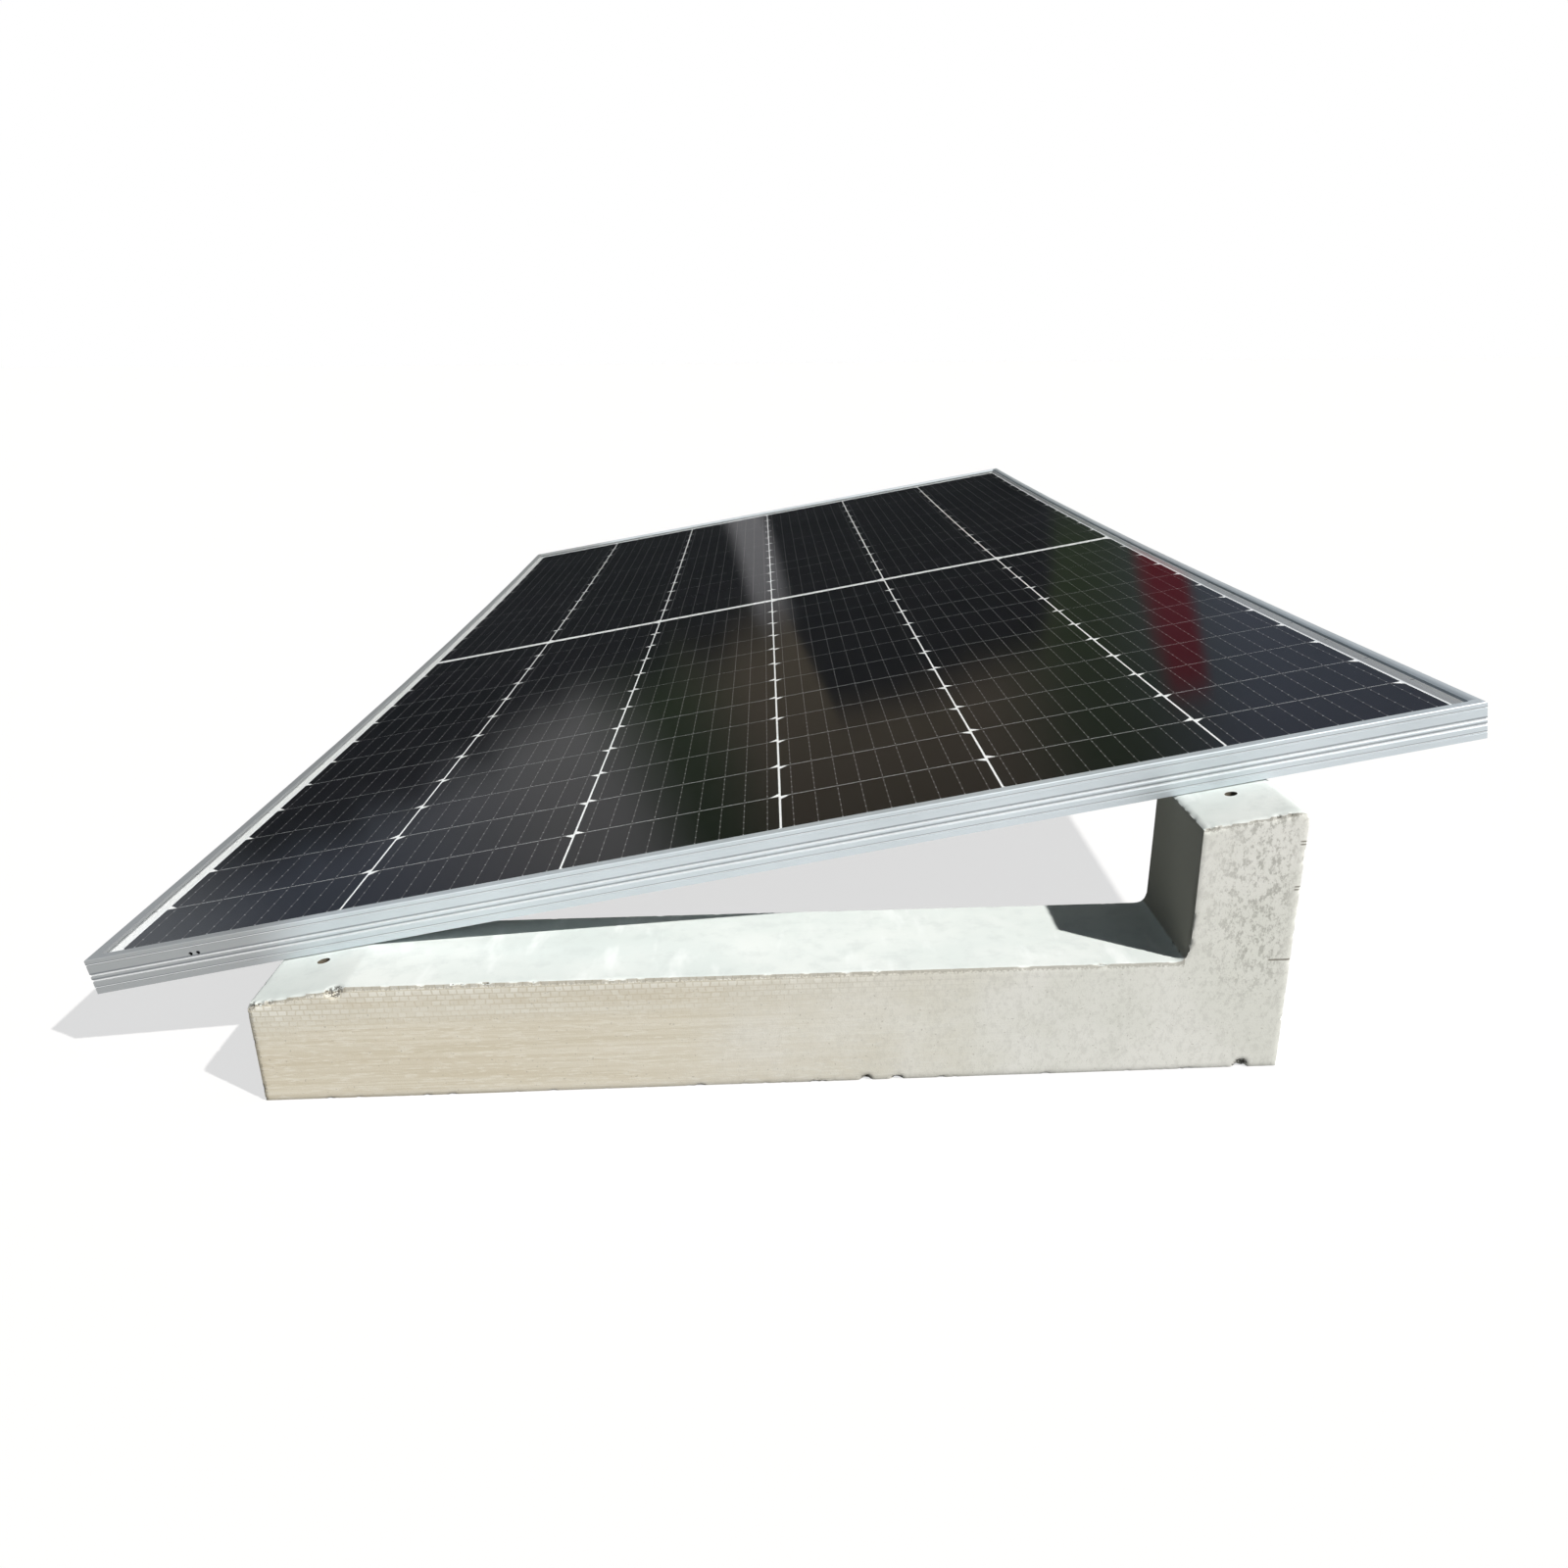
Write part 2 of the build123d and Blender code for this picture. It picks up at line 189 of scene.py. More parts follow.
near_chips = (
    # along, across, up, reach, depth
    (0.066, 0.000, 0.094, 0.0070, 0.0035),
    (0.002, 0.000, 0.084, 0.0050, 0.0030),
    (0.010, 0.000, 0.085, 0.0032, 0.0020),
    (0.018, 0.000, 0.086, 0.0030, 0.0018),
    (0.468, 0.000, 0.000, 0.0050, 0.0030),
    (0.492, 0.000, 0.000, 0.0045, 0.0028),
    (0.770, 0.000, 0.001, 0.0065, 0.0035),
    (0.724, 0.000, 0.205, 0.0030, 0.0016),
    (0.731, 0.000, 0.206, 0.0022, 0.0012),
    (0.776, 0.000, 0.214, 0.0034, 0.0016),
    (0.786, 0.000, 0.215, 0.0026, 0.0014),
    (0.655, 0.000, 0.096, 0.0024, 0.0012),
)
far_chips = (
    (0.120, 0.120, 0.096, 0.0060, 0.0030),
    (0.540, 0.120, 0.000, 0.0060, 0.0032),
    (0.760, 0.120, 0.210, 0.0050, 0.0026),
    (0.330, 0.000, 0.096, 0.0040, 0.0020),
)
blocks = []
for place, chips, seed in (("near", near_chips, 1), ("far", far_chips, 2)):
    node = "ballast_block_" + place
    casting, corner = cast_block("cast_block_" + place, node)
    crumble(casting, corner, chips, seed)
    drill_sockets(casting, corner)
    bpy.ops.object.select_all(action="DESELECT")
    bpy.context.view_layer.objects.active = casting
    casting.select_set(True)
    bpy.ops.object.shade_smooth_by_angle(angle=math.radians(35))
    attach(casting, "root")
    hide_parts(node)
    blocks.append(casting)


def paint(red, green, blue):
    """A colour given as it looks, on a scale to 255, in the linear values that shaders take."""
    return tuple((part / 255) ** 2.2 for part in (red, green, blue)) + (1.0,)


def add_node(tree, kind, values=None, **settings):
    """A shader node, with its settings and its inputs, each a value or another node's output."""
    made = tree.nodes.new("ShaderNode" + kind)
    for name, value in settings.items():
        setattr(made, name, value)
    for name, value in (values or {}).items():
        if isinstance(value, bpy.types.NodeSocket):
            tree.links.new(value, made.inputs[name])
        else:
            made.inputs[name].default_value = value
    return made


def calc(tree, operation, first, second=0.0, third=0.0, clamp=False):
    """One step of arithmetic between node outputs or numbers."""
    values = {0: first, 1: second, 2: third}
    return add_node(tree, "Math", values, operation=operation, use_clamp=clamp).outputs[0]


def blend(tree, factor, first, second, mode="MIX"):
    """Two colours mixed by a factor."""
    made = add_node(
        tree, "Mix", {0: factor, 6: first, 7: second}, data_type="RGBA", blend_type=mode
    )
    return made.outputs[2]


def spots(tree, vector, scale, detail=2.0, roughness=0.5, distortion=0.0):
    """The grey cloud of a noise texture."""
    values = {
        "Vector": vector,
        "Scale": scale,
        "Detail": detail,
        "Roughness": roughness,
        "Distortion": distortion,
    }
    return add_node(tree, "TexNoise", values).outputs[0]


def fade(tree, value, start, end):
    """Nought below start, one above end, and smooth between them. It falls if end is lower."""
    values = {0: value, 1: min(start, end), 2: max(start, end), 3: 0.0, 4: 1.0}
    if end < start:
        values[3], values[4] = 1.0, 0.0
    return add_node(tree, "MapRange", values, interpolation_type="SMOOTHSTEP").outputs[0]


def stretch(tree, vector, scale=(1, 1, 1), place=(0, 0, 0), turn=(0, 0, 0)):
    """The vector moved, turned and stretched."""
    values = {0: vector, 1: place, 2: turn, 3: scale}
    return add_node(tree, "Mapping", values).outputs[0]


def new_material(name):
    """An empty material with its output, ready for a shader."""
    material = bpy.data.materials.new(name)
    material.use_nodes = True
    material.node_tree.nodes.clear()
    return material, material.node_tree, add_node(material.node_tree, "OutputMaterial")


def dress(piece, material):
    """Give a piece one material all over."""
    piece.data.materials.clear()
    piece.data.materials.append(material)


concrete, tree, output = new_material("cast_concrete")
place = add_node(tree, "TexCoord").outputs["Object"]
axes = add_node(tree, "SeparateXYZ", {0: place}).outputs
facing = add_node(tree, "SeparateXYZ", {0: add_node(tree, "NewGeometry").outputs["Normal"]}).outputs
along = calc(tree, "SUBTRACT", axes[0], block_low.x)
height = axes[2]
flat_top = fade(tree, facing[2], 0.55, 0.85)
side_face = fade(tree, calc(tree, "ABSOLUTE", facing[1]), 0.6, 0.85)
clouds = spots(tree, place, 9, 4, 0.6)
fine_cloud = spots(tree, place, 60, 3, 0.6)
crumbs = spots(tree, place, 650, 2, 0.6)
streaks = spots(tree, stretch(tree, place, (7, 7, 420)), 1, 3, 0.6)
broad_streaks = spots(tree, stretch(tree, place, (2.2, 2.2, 46)), 1, 2, 0.5, 0.4)
dashes = spots(tree, stretch(tree, place, (95, 95, 620)), 1, 2, 0.6)
cream = blend(tree, fade(tree, streaks, 0.35, 0.65), paint(217, 209, 188), paint(229, 223, 206))
cream = blend(tree, fade(tree, broad_streaks, 0.40, 0.72), cream, paint(213, 203, 180))
dashes = calc(tree, "MULTIPLY", fade(tree, dashes, 0.50, 0.68), 0.6)
cream = blend(tree, dashes, cream, paint(240, 236, 223))
grey = blend(tree, fade(tree, clouds, 0.35, 0.65), paint(228, 230, 223), paint(237, 238, 233))
greyness = fade(tree, calc(tree, "ADD", along, calc(tree, "MULTIPLY", clouds, 0.35)), 0.38, 0.82)
skin = blend(tree, greyness, cream, grey)

# The boards' skin left rows of little scales below the top arris of the low end.
jitter = calc(tree, "MULTIPLY", calc(tree, "SUBTRACT", fine_cloud, 0.5), 0.006)
scale_rows = add_node(
    tree,
    "TexBrick",
    {
        "Vector": add_node(
            tree, "CombineXYZ", {0: calc(tree, "ADD", axes[0], jitter), 1: axes[2]}
        ).outputs[0],
        "Color1": (1, 1, 1, 1),
        "Color2": (0.5, 0.5, 0.5, 1),
        "Mortar": (0, 0, 0, 1),
        "Scale": 1.0,
        "Mortar Size": 0.0009,
        "Mortar Smooth": 1.0,
        "Brick Width": 0.0066,
        "Row Height": 0.0046,
    },
).outputs[0]
slope_line = calc(tree, "MULTIPLY_ADD", calc(tree, "SUBTRACT", along, seat_length), slope, base_height)
upright_part = calc(tree, "GREATER_THAN", along, 0.716)
top_line = add_node(
    tree,
    "Mix",
    {0: upright_part, 2: calc(tree, "MINIMUM", slope_line, base_height), 3: slope_line},
).outputs[0]
drop = calc(tree, "SUBTRACT", top_line, height)
band = calc(
    tree,
    "MULTIPLY",
    fade(tree, calc(tree, "ADD", drop, calc(tree, "MULTIPLY", broad_streaks, 0.03)), 0.052, 0.018),
    fade(tree, along, 0.66, 0.40),
)
skin = blend(tree, calc(tree, "MULTIPLY", band, 0.60), skin, paint(201, 197, 182))
skin = blend(tree, calc(tree, "MULTIPLY", band, scale_rows), skin, paint(241, 240, 231))

# Past the middle the skin turns to fine grey mottling, thickest down the upright.
mottle = spots(tree, stretch(tree, place, (240, 240, 170)), 1, 5, 0.72)
upright_mottle = calc(
    tree,
    "MULTIPLY",
    calc(tree, "MULTIPLY", fade(tree, along, 0.715, 0.765), fade(tree, along, 0.798, 0.785)),
    fade(tree, calc(tree, "ADD", height, calc(tree, "MULTIPLY", fine_cloud, 0.03)), 0.05, 0.13),
)
amount = calc(tree, "MULTIPLY_ADD", upright_mottle, 0.42, calc(tree, "MULTIPLY", greyness, 0.16))
mottle = calc(tree, "MULTIPLY", fade(tree, mottle, 0.46, 0.62), amount, clamp=True)
skin = blend(tree, mottle, skin, paint(150, 150, 143))
specks = fade(tree, spots(tree, place, 420, 1, 0.5), 0.70, 0.78)
skin = blend(tree, calc(tree, "MULTIPLY", specks, 0.30), skin, paint(120, 116, 104))

# A ragged line of painted shade lies under each top arris, a darker line runs along the low end,
# and a seam of the mould shows at the high end with two pairs of tie marks over it.
rag = calc(tree, "MULTIPLY", calc(tree, "SUBTRACT", crumbs, 0.5), 0.006)
arris_shade_line = fade(tree, calc(tree, "ADD", drop, rag), 0.0042, 0.0016)
end_line = fade(tree, calc(tree, "ADD", along, rag), 0.0040, 0.0010)
shade_and_seam_lines = calc(tree, "MULTIPLY", calc(tree, "MAXIMUM", arris_shade_line, end_line), 0.55)
for level, start, thickness in (
    (0.0955, 0.781, 0.0005),
    (0.1912, 0.794, 0.0004),
    (0.1936, 0.794, 0.0004),
    (0.1544, 0.794, 0.0004),
    (0.1568, 0.794, 0.0004),
):
    away = calc(tree, "ABSOLUTE", calc(tree, "SUBTRACT", height, level))
    line = fade(tree, away, 2 * thickness, thickness)
    line = calc(tree, "MULTIPLY", line, fade(tree, along, start, start + 0.002))
    shade_and_seam_lines = calc(tree, "MAXIMUM", shade_and_seam_lines, calc(tree, "MULTIPLY", line, 0.8))
skin = blend(tree, shade_and_seam_lines, skin, paint(112, 107, 96))
floated = blend(tree, fade(tree, clouds, 0.3, 0.7), paint(201, 209, 207), paint(214, 219, 217))
floated = blend(tree, calc(tree, "MULTIPLY", fade(tree, fine_cloud, 0.45, 0.75), 0.45),
                floated, paint(188, 195, 194))
trowelled = spots(tree, stretch(tree, place, (40, 12, 40)), 1, 3, 0.6)
floated = blend(tree, fade(tree, trowelled, 0.55, 0.75), floated, paint(220, 225, 224))
# Painted shade darkens the upright's inner face, which is turned away from the sun.
inner_face_shade = fade(tree, facing[0], -0.5, -0.8)
bare = blend(tree, inner_face_shade, grey, paint(150, 149, 140))
colour = blend(tree, flat_top, blend(tree, side_face, bare, skin), floated)

# Painted shade darkens the inside of the cast sockets.
from_end = calc(tree, "MINIMUM", along, calc(tree, "SUBTRACT", block_length, along))
from_end = calc(tree, "ABSOLUTE", calc(tree, "SUBTRACT", from_end, socket_inset))
off_axis = calc(tree, "SUBTRACT", calc(tree, "ABSOLUTE", axes[1]), -block_low.y - socket_across)
socket_shade = calc(
    tree,
    "MULTIPLY",
    calc(tree, "LESS_THAN", from_end, 0.016),
    calc(tree, "LESS_THAN", calc(tree, "ABSOLUTE", off_axis), 0.0058),
)
socket_shade = calc(tree, "MULTIPLY", socket_shade, calc(tree, "SUBTRACT", 1.0, flat_top))
colour = blend(tree, socket_shade, colour, paint(92, 86, 76))
# Chipped pits are darkened, partly by dirt and partly by painted shade in the hollows.
chipped = add_node(tree, "Attribute", attribute_name="chipped").outputs["Fac"]
pit_dirt_and_shade = calc(tree, "MULTIPLY", fade(tree, chipped, 0.05, 0.5), fade(tree, crumbs, 0.40, 0.56))
colour = blend(tree, calc(tree, "MULTIPLY", pit_dirt_and_shade, 0.85), colour, paint(62, 57, 50))
grain = add_node(
    tree, "Bump", {"Height": spots(tree, place, 900, 3, 0.7), "Strength": 0.2, "Distance": 0.0005}
).outputs[0]
ripple = add_node(
    tree,
    "Bump",
    {
        "Height": calc(tree, "SUBTRACT", streaks, mottle),
        "Strength": 0.15,
        "Distance": 0.0005,
        "Normal": grain,
    },
).outputs[0]
surface = add_node(
    tree,
    "BsdfPrincipled",
    {
        "Base Color": colour,
        "Roughness": calc(tree, "ADD", 0.78, calc(tree, "MULTIPLY", clouds, 0.15)),
        "Specular IOR Level": 0.25,
        "Normal": ripple,
    },
)
tree.links.new(surface.outputs[0], output.inputs[0])
for casting in blocks:
    dress(casting, concrete)

# ------------------------------------------------------------------ module frame
# Four rails of one anodised aluminium extrusion, mitred and pressed onto corner keys. The die
# leaves fine lines along each rail, and the satin anodising blurs what the metal mirrors.
anodised, tree, output = new_material("anodised_aluminium")
place = add_node(tree, "TexCoord").outputs["Object"]
axes = add_node(tree, "SeparateXYZ", {0: place}).outputs
end_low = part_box("frame_rail_near")[0]
bow_radius = 64.87
section_height = calc(
    tree,
    "SUBTRACT",
    calc(tree, "MULTIPLY", axes[2], math.cos(slope_angle)),
    calc(tree, "MULTIPLY", axes[0], math.sin(slope_angle)),
)
bow = calc(tree, "DIVIDE", calc(tree, "POWER", axes[1], 2.0), 2 * bow_radius)
frame_foot = (
    end_low.z * math.cos(slope_angle)
    - end_low.x * math.sin(slope_angle)
    - end_low.y ** 2 / (2 * bow_radius)
)
section_height = calc(tree, "SUBTRACT", calc(tree, "SUBTRACT", section_height, bow), frame_foot)
die_lines = spots(tree, stretch(tree, place, (1.5, 1.5, 900)), 1, 2, 0.6)
haze = spots(tree, place, 7, 3, 0.6)
metal_colour = blend(tree, fade(tree, haze, 0.3, 0.7), paint(204, 213, 218), paint(214, 223, 228))
# Painted reflection: the rails turn darker grey towards the low end.
low_end_reflection = fade(tree, axes[0], -0.36, -0.44)
metal_colour = blend(tree, calc(tree, "MULTIPLY", low_end_reflection, 0.9), metal_colour, paint(158, 161, 162))
# Painted shade and dim reflection on the inside of the high rail's lip.
high_lip_shade = fade(tree, axes[0], 0.5545, 0.5475)
high_lip_shade = calc(tree, "MULTIPLY", high_lip_shade, calc(tree, "GREATER_THAN", axes[0], 0.535))
off_end = calc(tree, "LESS_THAN", calc(tree, "ABSOLUTE", axes[1]), 1.127)
high_lip_shade = calc(tree, "MULTIPLY", high_lip_shade, off_end)
metal_colour = blend(tree, calc(tree, "MULTIPLY", high_lip_shade, 0.6), metal_colour, paint(96, 110, 120))
# Painted shade on the upper wall of each groove of the rail and a painted highlight on its lower wall.
for drop, reach in ((0.0048, 0.0006), (0.0138, 0.0012), (0.0184, 0.0012), (0.0248, 0.0006)):
    for side, share, tone in ((0.6, 0.60, paint(112, 118, 123)), (-0.6, 0.75, paint(250, 252, 253))):
        wall = 0.030 - drop + side * reach
        away = calc(tree, "ABSOLUTE", calc(tree, "SUBTRACT", section_height, wall))
        groove_light_mask = calc(tree, "MULTIPLY", fade(tree, away, reach * 0.8, reach * 0.4), share)
        metal_colour = blend(tree, groove_light_mask, metal_colour, tone)
metal_bump = add_node(
    tree, "Bump", {"Height": die_lines, "Strength": 0.15, "Distance": 0.0002}
).outputs[0]
metal = add_node(
    tree,
    "BsdfPrincipled",
    {
        "Base Color": metal_colour,
        "Metallic": 0.6,
        "Roughness": calc(tree, "ADD", 0.33, calc(tree, "MULTIPLY", die_lines, 0.12)),
        "Normal": metal_bump,
    },
)
tree.links.new(metal.outputs[0], output.inputs[0])
for name, node in nodes.items():
    if name.startswith(("frame_rail", "corner_key")):
        dress(node, anodised)

# ------------------------------------------------------------------ laminate
# Textured glass, a clear film, the cells on their ribbons, a white film and a white backsheet,
# melted into one sheet. Light goes through the glass and the film, and only the glass mirrors.
glass, tree, output = new_material("module_glass")
geometry = add_node(tree, "NewGeometry").outputs
mirrored = calc(
    tree,
    "MULTIPLY",
    add_node(tree, "Fresnel", {"IOR": 1.5}).outputs[0],
    calc(tree, "SUBTRACT", 1.0, geometry["Backfacing"]),
)
clear = add_node(tree, "BsdfTransparent", {"Color": (0.985, 0.99, 0.99, 1)})
sheen = add_node(tree, "BsdfGlossy", {"Color": (1, 1, 1, 1), "Roughness": 0.05})
pane = add_node(tree, "MixShader", {0: mirrored, 1: clear.outputs[0], 2: sheen.outputs[0]})
tree.links.new(pane.outputs[0], output.inputs[0])
dress(nodes["front_glass"], glass)

clear_film, tree, output = new_material("clear_film")
melted = add_node(tree, "BsdfTransparent", {"Color": (0.99, 0.99, 0.99, 1)})
tree.links.new(melted.outputs[0], output.inputs[0])
dress(nodes["front_encapsulant"], clear_film)


module_low, module_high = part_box("front_glass")
module_middle_x = (module_low.x + module_high.x) / 2
module_middle_z = (module_low.z + module_high.z) / 2
cell_pitch = 0.184
half_cell = 0.091
row_pitch = 0.0925
middle_gap = 0.015


def soft_white(name, tone, roughness):
    """A white sheet or sealant, a little uneven."""
    material, tree, output = new_material(name)
    place = add_node(tree, "TexCoord").outputs["Object"]
    cloud = spots(tree, place, 12, 3, 0.6)
    dimmed = tuple(part * 0.93 for part in tone[:3]) + (1.0,)
    shade = add_node(
        tree,
        "BsdfPrincipled",
        {
            "Base Color": blend(tree, fade(tree, cloud, 0.3, 0.7), dimmed, tone),
            "Roughness": roughness,
            "Specular IOR Level": 0.3,
            "Normal": add_node(
                tree, "Bump", {"Height": spots(tree, place, 260, 2), "Strength": 0.1}
            ).outputs[0],
        },
    )
    tree.links.new(shade.outputs[0], output.inputs[0])
    return material


def distance_up_slope(tree, axes):
    """How far up the slope a point lies from the module's middle, whatever the bow."""
    along = calc(tree, "SUBTRACT", axes[0], module_middle_x)
    up = calc(tree, "SUBTRACT", axes[2], module_middle_z)
    up = calc(tree, "MULTIPLY", up, math.sin(slope_angle))
    return calc(tree, "MULTIPLY_ADD", along, math.cos(slope_angle), up)


# The white film shows in the gaps between the cells. It has a painted glow all over, strongest in
# the thin margin under the high rail's lip where the lip's shadow falls, and painted shade makes
# the narrow gaps between the rows greyer than those between the columns.
white_film, tree, output = new_material("white_film")
axes = add_node(tree, "SeparateXYZ", {0: add_node(tree, "TexCoord").outputs["Object"]}).outputs
up_slope = distance_up_slope(tree, axes)
station = calc(tree, "SUBTRACT", calc(tree, "ABSOLUTE", axes[1]), middle_gap / 2)
# Painted shade: the film is greyer in the narrow gaps between the rows.
row_gap_shade = calc(
    tree, "GREATER_THAN", calc(tree, "MODULO", station, row_pitch), half_cell - 0.0002
)
from_column_line = calc(tree, "PINGPONG", up_slope, cell_pitch / 2)
row_gap_shade = calc(tree, "MULTIPLY", row_gap_shade, fade(tree, from_column_line, 0.006, 0.009))
film_tone = blend(tree, row_gap_shade, paint(246, 248, 248), paint(150, 152, 153))
# Painted glow: the film gives off light, most in the margin under the high rail's lip.
glow = calc(
    tree,
    "MULTIPLY",
    calc(tree, "GREATER_THAN", up_slope, 0.549),
    calc(tree, "LESS_THAN", up_slope, 0.5532),
)
glow = calc(tree, "MULTIPLY_ADD", glow, 0.80, 0.28)
shade = add_node(
    tree,
    "BsdfPrincipled",
    {
        "Base Color": film_tone,
        "Roughness": 0.5,
        "Specular IOR Level": 0.3,
        "Emission Color": film_tone,
        "Emission Strength": glow,
    },
)
tree.links.new(shade.outputs[0], output.inputs[0])
dress(nodes["rear_encapsulant"], white_film)
dress(nodes["backsheet"], soft_white("backsheet", paint(226, 229, 230), 0.45))
sealant = soft_white("silicone", paint(222, 224, 222), 0.6)
dress(nodes["edge_sealant"], sealant)
for number in (1, 2, 3):
    dress(nodes["adhesive_pad_%d" % number], sealant)

silicon, tree, output = new_material("silicon_cell")
place = add_node(tree, "TexCoord").outputs["Object"]
axes = add_node(tree, "SeparateXYZ", {0: place}).outputs
tile = add_node(
    tree,
    "CombineXYZ",
    {
        0: calc(tree, "FLOOR", calc(tree, "DIVIDE", distance_up_slope(tree, axes), cell_pitch)),
        1: calc(tree, "FLOOR", calc(tree, "DIVIDE", axes[1], row_pitch)),
    },
).outputs[0]
batch = add_node(tree, "TexWhiteNoise", {"Vector": tile}).outputs[0]
cell_colour = blend(tree, batch, paint(8, 8, 13), paint(16, 14, 19))
cell_shade = add_node(
    tree,
    "BsdfPrincipled",
    {"Base Color": cell_colour, "Roughness": 0.5, "Specular IOR Level": 0.04},
)
tree.links.new(cell_shade.outputs[0], output.inputs[0])

tinned, tree, output = new_material("tinned_ribbon")
place = add_node(tree, "TexCoord").outputs["Object"]
axes = add_node(tree, "SeparateXYZ", {0: place}).outputs
pad_pitch = 0.0152
pad = calc(tree, "PINGPONG", axes[1], pad_pitch / 2)
pad = fade(tree, pad, 0.0010, 0.0004)
ribbon_shade = add_node(
    tree,
    "BsdfPrincipled",
    {
        "Base Color": blend(tree, pad, paint(70, 68, 68), paint(196, 198, 200)),
        "Metallic": 0.2,
        "Roughness": 0.5,
        "Specular IOR Level": 0.1,
    },
)
tree.links.new(ribbon_shade.outputs[0], output.inputs[0])
for name, node in nodes.items():
    if name.startswith("cell_string"):
        dress(node, silicon)
    if name.startswith("string_ribbons"):
        dress(node, tinned)
for place_name in ("near", "middle", "far"):
    dress(nodes["bus_ribbons_" + place_name], white_film)

# ------------------------------------------------------------------ junction boxes
# Three shallow boxes glued to the back, moulded in black plastic that is sparked matt, with a
# snap-on lid each and a bypass diode inside, and a gland for each lead at the two outer boxes.
plastic, tree, output = new_material("black_plastic")
place = add_node(tree, "TexCoord").outputs["Object"]
sparked = spots(tree, place, 1400, 2, 0.6)
plastic_shade = add_node(
    tree,
    "BsdfPrincipled",
    {
        "Base Color": blend(tree, spots(tree, place, 30, 2), paint(26, 27, 29), paint(38, 39, 41)),
        "Roughness": 0.5,
        "Normal": add_node(
            tree, "Bump", {"Height": sparked, "Strength": 0.2, "Distance": 0.0003}
        ).outputs[0],
    },
)
tree.links.new(plastic_shade.outputs[0], output.inputs[0])
for name, node in nodes.items():
    if name.startswith(("junction_box", "cable_gland", "bypass_diode")):
        dress(node, plastic)

# ------------------------------------------------------------------ studio
# A pale floor that keeps the shadow, a low sun from the right, a white world, and a ring of dim
# soft-edged scenery far off that only mirroring surfaces show.
bpy.ops.object.select_all(action="DESELECT")
bpy.ops.mesh.primitive_plane_add(size=240, location=(0, 0, -0.0002))
floor = bpy.context.object
floor.name = "floor"
floor_material, tree, output = new_material("pale_floor")
rays = add_node(tree, "LightPath").outputs
seen = calc(tree, "MAXIMUM", rays["Is Camera Ray"], rays["Is Glossy Ray"])
seen = calc(tree, "MAXIMUM", seen, rays["Is Transmission Ray"])
pale = add_node(tree, "BsdfDiffuse", {"Color": (0.8, 0.8, 0.8, 1)})
dull = add_node(tree, "BsdfDiffuse", {"Color": (0.10, 0.10, 0.10, 1)})
white = add_node(tree, "Emission", {"Color": (1, 1, 1, 1), "Strength": 1.0})
shown = add_node(tree, "MixShader", {0: 0.3, 1: white.outputs[0], 2: pale.outputs[0]})
floor_shade = add_node(tree, "MixShader", {0: seen, 1: dull.outputs[0], 2: shown.outputs[0]})
tree.links.new(floor_shade.outputs[0], output.inputs[0])
dress(floor, floor_material)

ring_radius = 12.0
ring_height = 9.0
bpy.ops.object.select_all(action="DESELECT")
bpy.ops.mesh.primitive_cylinder_add(
    vertices=96,
    radius=ring_radius,
    depth=ring_height,
    end_fill_type="NOTHING",
    location=(0, 0, ring_height / 2),
)
ring = bpy.context.object
ring.name = "dim_surroundings"
bpy.ops.object.transform_apply(location=True, rotation=True, scale=True)
ring.visible_camera = False
ring.visible_diffuse = False
ring.visible_shadow = False
ring.visible_transmission = False
scenery, tree, output = new_material("dim_scenery")
place = add_node(tree, "TexCoord").outputs["Object"]
axes = add_node(tree, "SeparateXYZ", {0: place}).outputs
bearing = calc(tree, "DEGREES", calc(tree, "ARCTAN2", axes[0], axes[1]))
wander = spots(tree, stretch(tree, place, (0.5, 0.5, 0.25)), 1, 3, 0.6)
bearing = calc(tree, "ADD", bearing, calc(tree, "MULTIPLY", calc(tree, "SUBTRACT", wander, 0.5), 2.5))


def scenery_ramp(tree, bearing, first, last, tones):
    """Colours by bearing in degrees, from the first to the last."""
    share = add_node(tree, "MapRange", {0: bearing, 1: first, 2: last}).outputs[0]
    ramp = add_node(tree, "ValToRGB", {0: share})
    ramp.color_ramp.interpolation = "EASE"
    stops = ramp.color_ramp.elements
    while len(stops) < len(tones):
        stops.new(0.5)
    for stop, (angle, tone) in zip(stops, tones):
        stop.position = (angle - first) / (last - first)
        stop.color = tuple(tone) + (1.0,)
    return ramp.outputs[0]


# Dark trees all round at eye level, with open sky to either side. Above them stand a pale wall,
# a brown bank and a hedge, and one pale and one red post rise in front.
open_sky = (0.45, 0.48, 0.52)
trees = (0.015, 0.018, 0.020)
wall = (0.25, 0.25, 0.25)
bank = (0.13, 0.11, 0.08)
hedge = (0.04, 0.06, 0.03)
haze = (0.12, 0.14, 0.18)
low_tones = ((-40, open_sky), (-30, trees), (10, trees), (20, haze), (40, open_sky))
high_tones = (
    (-40, open_sky),
    (-30, haze),
    (-15, wall),
    (-10, hedge),
    (-5, bank),
    (5, bank),
    (12, hedge),
    (20, haze),
)
low_scene = scenery_ramp(tree, bearing, -40, 40, low_tones)
high_scene = scenery_ramp(tree, bearing, -40, 40, high_tones)
rise = calc(tree, "ADD", axes[2], calc(tree, "MULTIPLY", calc(tree, "SUBTRACT", wander, 0.5), 1.2))
middle_part = calc(tree, "MULTIPLY", fade(tree, bearing, -2.6, -1.4), fade(tree, bearing, 12, 9))
rise = calc(tree, "SUBTRACT", rise, middle_part)
scene_colour = blend(tree, fade(tree, rise, 2.05, 2.65), low_scene, high_scene)
posts = (
    # bearing, height, tone
    (-3, 2.0, (0.25, 0.25, 0.26, 1)),
    (16, 4.0, (0.17, 0.02, 0.03, 1)),
)
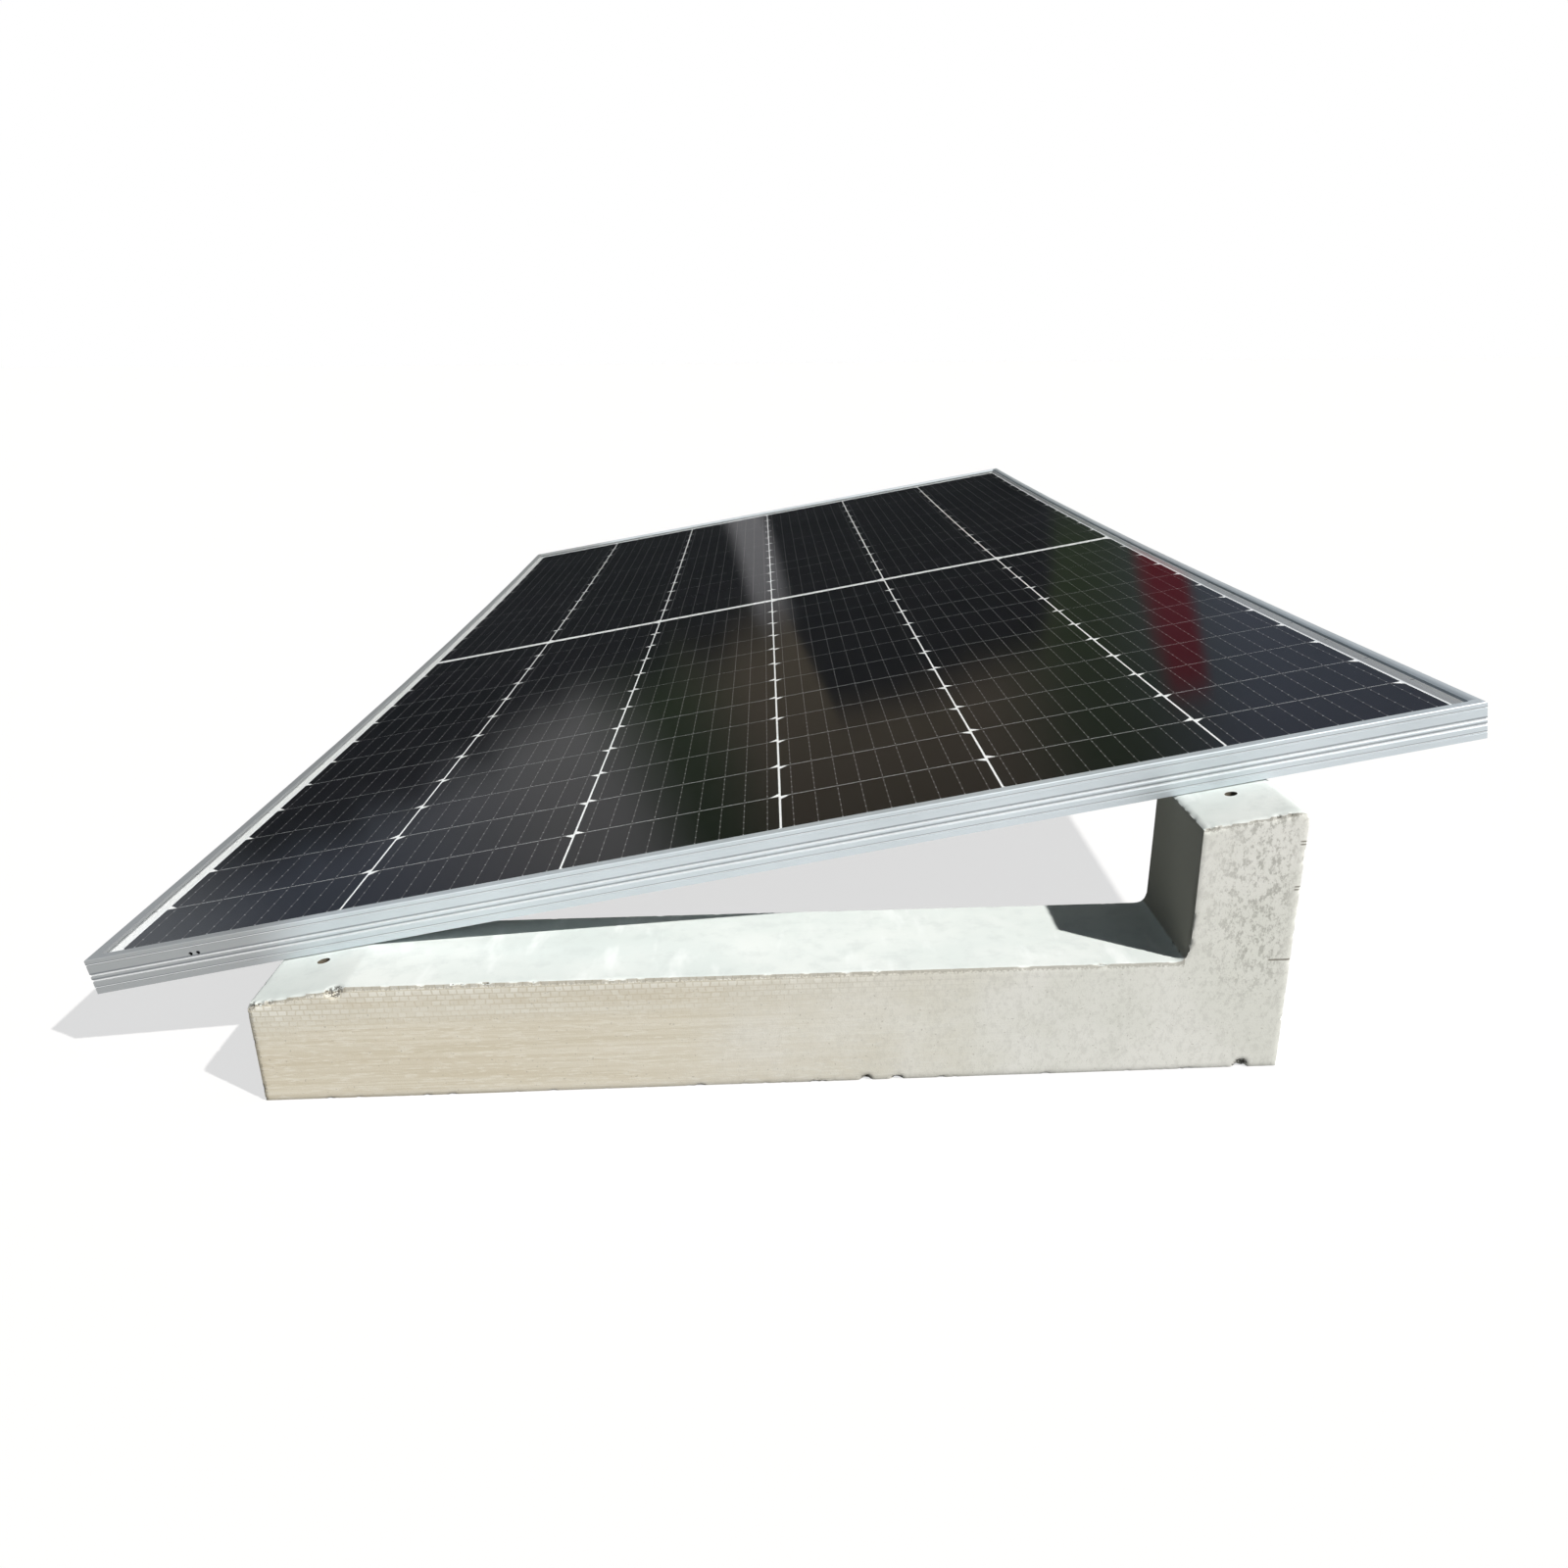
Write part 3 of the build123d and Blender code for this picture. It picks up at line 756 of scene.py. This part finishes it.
for post_bearing, post_height, tone in posts:
    aside = calc(tree, "ABSOLUTE", calc(tree, "SUBTRACT", bearing, post_bearing))
    top = fade(tree, axes[2], post_height + 0.5, post_height)
    post = calc(tree, "MULTIPLY", fade(tree, aside, 1.5, 0.5), top)
    scene_colour = blend(tree, post, scene_colour, tone)
glow = add_node(tree, "Emission", {"Color": scene_colour, "Strength": 1.0})
tree.links.new(glow.outputs[0], output.inputs[0])
dress(ring, scenery)

world = bpy.data.worlds.new("white_studio")
bpy.context.scene.world = world
world.use_nodes = True
tree = world.node_tree
tree.nodes.clear()
rays = add_node(tree, "LightPath").outputs
seen = calc(tree, "MAXIMUM", rays["Is Camera Ray"], rays["Is Glossy Ray"])
seen = calc(tree, "MAXIMUM", seen, rays["Is Transmission Ray"])
fill = add_node(tree, "Background", {"Color": (0.62, 0.80, 1.0, 1), "Strength": 0.035})
backdrop = add_node(tree, "Background", {"Color": (1, 1, 1, 1), "Strength": 1.0})
sky = add_node(tree, "MixShader", {0: seen, 1: fill.outputs[0], 2: backdrop.outputs[0]})
tree.links.new(sky.outputs[0], add_node(tree, "OutputWorld").inputs[0])

sun_direction = Vector((0.575, -0.429, 0.697))
sun_data = bpy.data.lights.new("sun", "SUN")
sun_data.energy = 5.6
sun_data.angle = math.radians(1.2)
sun_data.color = (1.0, 0.975, 0.94)
sun = bpy.data.objects.new("sun", sun_data)
sun.rotation_euler = sun_direction.to_track_quat("Z", "Y").to_euler()
bpy.context.scene.collection.objects.link(sun)
back_data = bpy.data.lights.new("back_fill", "SUN")
back_data.energy = 0.8
back_data.angle = math.radians(30)
back_data.color = (0.86, 0.93, 1.0)
back_fill = bpy.data.objects.new("back_fill", back_data)
back_fill.rotation_euler = Vector((0.0, 1.0, 0.06)).to_track_quat("Z", "Y").to_euler()
back_fill.visible_glossy = False
bpy.context.scene.collection.objects.link(back_fill)

camera_data = bpy.data.cameras.new("camera")
camera_data.lens = 29.5
camera_data.sensor_width = 36
camera_data.shift_x = -0.0343
camera_data.shift_y = 0.0630
camera_data.clip_end = 400
camera = bpy.data.objects.new("camera", camera_data)
heading = Matrix.Rotation(math.radians(-3.05), 4, "Z")
pitch = Matrix.Rotation(math.radians(90 - 22.32), 4, "X")
roll = Matrix.Rotation(math.radians(-0.39), 4, "Z")
camera.matrix_world = Matrix.Translation((-0.0087, -2.0981, 0.5334)) @ heading @ pitch @ roll
bpy.context.scene.collection.objects.link(camera)
bpy.context.scene.camera = camera
bpy.context.scene.view_settings.view_transform = "Standard"
